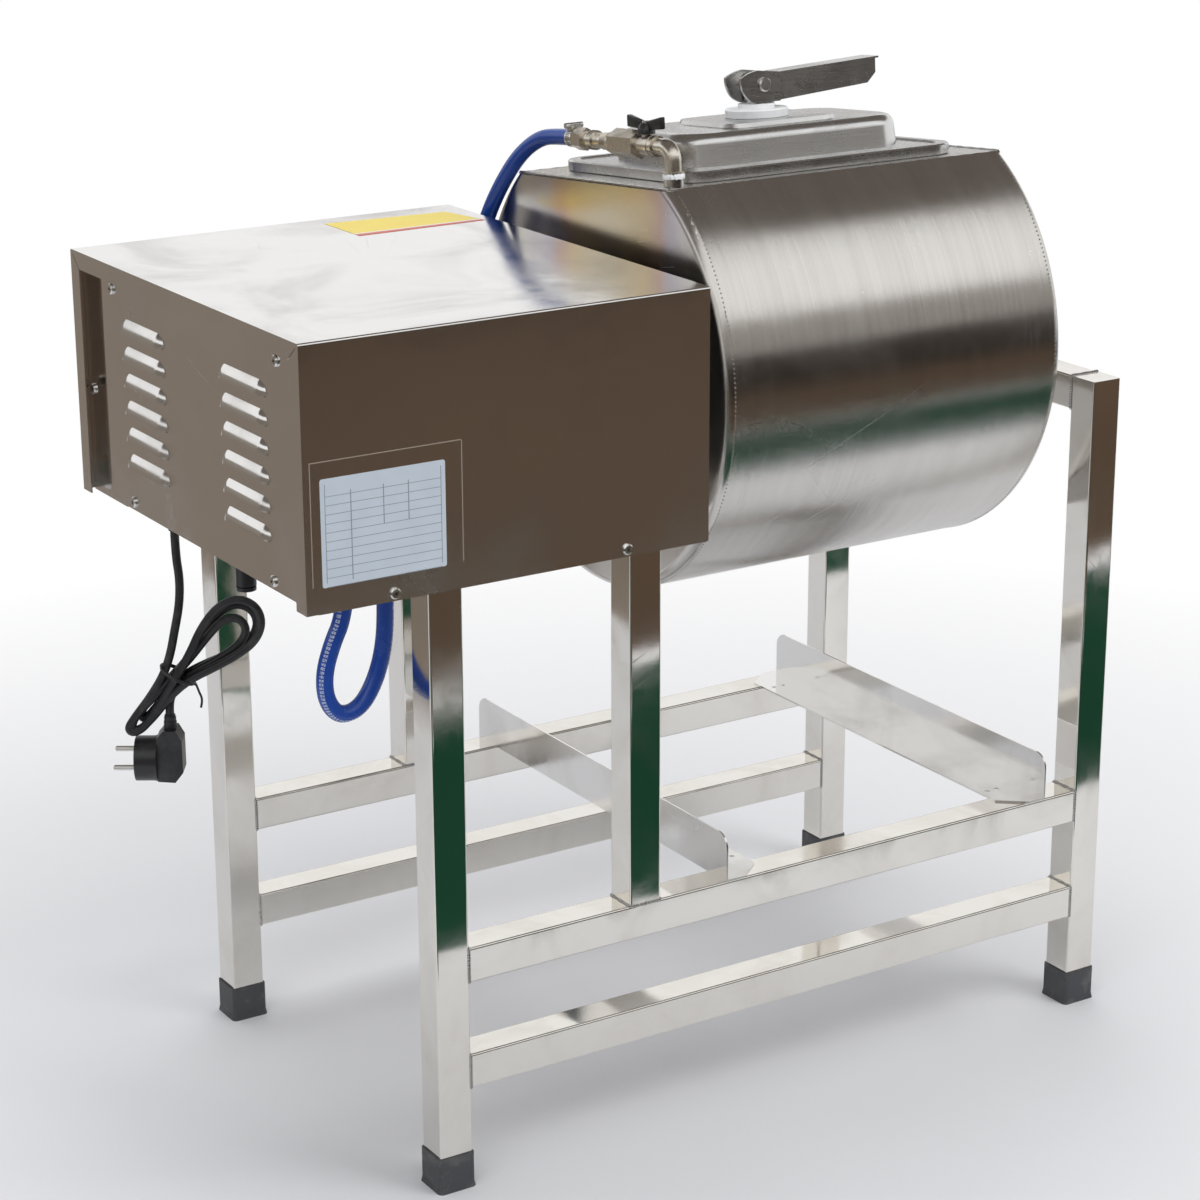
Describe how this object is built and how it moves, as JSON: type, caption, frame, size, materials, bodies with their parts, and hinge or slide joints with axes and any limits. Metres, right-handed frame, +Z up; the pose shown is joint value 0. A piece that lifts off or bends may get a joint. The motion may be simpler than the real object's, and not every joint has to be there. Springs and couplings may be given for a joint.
{
  "type": "meat vacuum tumbler",
  "caption": "Stainless drum with a flat hatch and clamped lid, turned by a motor box on a square-tube stand, with a vacuum valve and hose.",
  "frame": {"origin": "centre of the bounding box at floor level, cords and plug left out", "axes": "+Z up; +X along the drum axis from the motor box to the tail bearing; +Y from the near side to the control side"},
  "size_m": [0.819, 0.4312, 0.8567],
  "materials": {
    "polished_tube": "polished",
    "polished_sheet": "polished",
    "brushed_drum": "brushed",
    "satin_pressing": "satin",
    "machined_steel": "machined",
    "zinc_hardware": "polished",
    "foot_rubber": "matte",
    "seal_rubber": "matte",
    "white_nylon": "satin",
    "nickel_brass": "polished",
    "blue_hose": "glossy",
    "black_plastic": "satin",
    "black_cord": "satin",
    "cast_housing": "painted",
    "motor_paint": "satin",
    "board_green": "satin",
    "panel_face": "satin",
    "dark_window": "glossy",
    "start_green": "glossy",
    "stop_red": "glossy",
    "gauge_steel": "polished",
    "needle_black": "matte"
  },
  "bodies": {
    "stand": {"left_legs": "polished_tube", "right_legs": "polished_tube", "mid_posts": "polished_tube", "upper_rails": "polished_tube", "lower_rails": "polished_tube", "bearing_beam": "polished_tube", "foot_caps": "foot_rubber", "left_tray_bracket": "polished_sheet", "right_tray_bracket": "polished_sheet", "base_pan": "polished_sheet", "motor_cover": "polished_sheet", "vent_panel": "polished_sheet", "corner_panel": "polished_sheet", "end_posts": "polished_sheet", "bulkhead": "polished_sheet", "cover_screws": "zinc_hardware", "control_panel": "panel_face", "display_window": "dark_window", "gauge_case": "gauge_steel", "drive_motor": "motor_paint", "gearbox": "motor_paint", "gearbox_bracket": "machined_steel", "drive_bearing_housing": "cast_housing", "tail_bearing_housing": "cast_housing", "bearing_bolts": "zinc_hardware", "vacuum_pump": "motor_paint", "exhaust_fitting": "black_plastic", "control_board": "board_green", "drum_hose": "blue_hose", "loop_hose": "blue_hose", "power_cord": "black_cord", "cord_hank": "black_cord", "cord_gland": "black_plastic", "plug": "black_plastic"},
    "drum": {"drum_shell": "brushed_drum", "drum_left_end": "brushed_drum", "drum_right_end": "brushed_drum", "hatch_plate": "brushed_drum", "lifting_ribs": "brushed_drum", "drive_hub": "machined_steel", "tail_hub": "machined_steel", "shaft_coupling": "machined_steel", "output_shaft": "machined_steel", "bearing_inserts": "machined_steel", "valve_elbow": "nickel_brass", "valve_body": "nickel_brass", "hose_tail": "nickel_brass", "hose_clamp": "zinc_hardware"},
    "valve_stem": {"valve_handle": "black_plastic"},
    "lid": {"lid_shell": "satin_pressing", "lid_gasket": "seal_rubber"},
    "clamp_swivel": {"thrust_washer": "white_nylon"},
    "clamp_stem": {"clamp_stud": "machined_steel", "clamp_bar": "satin_pressing", "lever_pin": "machined_steel"},
    "clamp_lever_body": {"clamp_lever": "satin_pressing"},
    "rocker": {"power_switch": "black_plastic"},
    "start_cap": {"start_button": "start_green"},
    "stop_cap": {"stop_button": "stop_red"},
    "needle": {"gauge_needle": "needle_black"}
  },
  "joints": [
    {"name": "drum_spin", "type": "hinge", "parent": "stand", "child": "drum", "pos_m": [0.16565, -0.0039, 0.6184], "axis": [1, 0, 0], "continuous": true, "deforming": ["drum_hose"]},
    {"name": "valve_turn", "type": "hinge", "parent": "drum", "child": "valve_stem", "pos_m": [0.0049, -0.05875, 0.81368], "axis": [0, 0.0837, 0.9965], "range_deg": [0, 90]},
    {"name": "lid_lift", "type": "slide", "parent": "drum", "child": "lid", "axis": [0, 0.0837, 0.9965], "range_m": [0, 0.12]},
    {"name": "clamp_turn", "type": "hinge", "parent": "lid", "child": "clamp_swivel", "pos_m": [0.16565, 0.01244, 0.81302], "axis": [0, 0.0837, 0.9965], "range_deg": [0, 90]},
    {"name": "clamp_draw", "type": "slide", "parent": "clamp_swivel", "child": "clamp_stem", "axis": [0, 0.0837, 0.9965], "range_m": [0, 0.0086]},
    {"name": "clamp_lever", "type": "hinge", "parent": "clamp_stem", "child": "clamp_lever_body", "pos_m": [0.16565, 0.01475, 0.84052], "axis": [0, -0.9965, 0.0837], "range_deg": [0, 90]},
    {"name": "power_switch", "type": "hinge", "parent": "stand", "child": "rocker", "pos_m": [-0.1821, 0.2051, 0.636], "axis": [1, 0, 0], "range_deg": [0, 10]},
    {"name": "start_button", "type": "slide", "parent": "stand", "child": "start_cap", "axis": [0, -1, 0], "range_m": [0, 0.0025], "stiffness_N_per_m": 400, "springref_m": -0.002},
    {"name": "stop_button", "type": "slide", "parent": "stand", "child": "stop_cap", "axis": [0, -1, 0], "range_m": [0, 0.0025], "stiffness_N_per_m": 400, "springref_m": -0.002},
    {"name": "gauge_needle", "type": "hinge", "parent": "stand", "child": "needle", "pos_m": [-0.3021, 0.2101, 0.64], "axis": [0, 1, 0], "range_deg": [0, 270], "stiffness_Nm_per_rad": 0.0005, "springref_deg": -2.86}
  ],
  "couplings": [
    {"joint": "clamp_draw", "follows": "clamp_lever", "m_per_rad": 0.0054113}
  ]
}
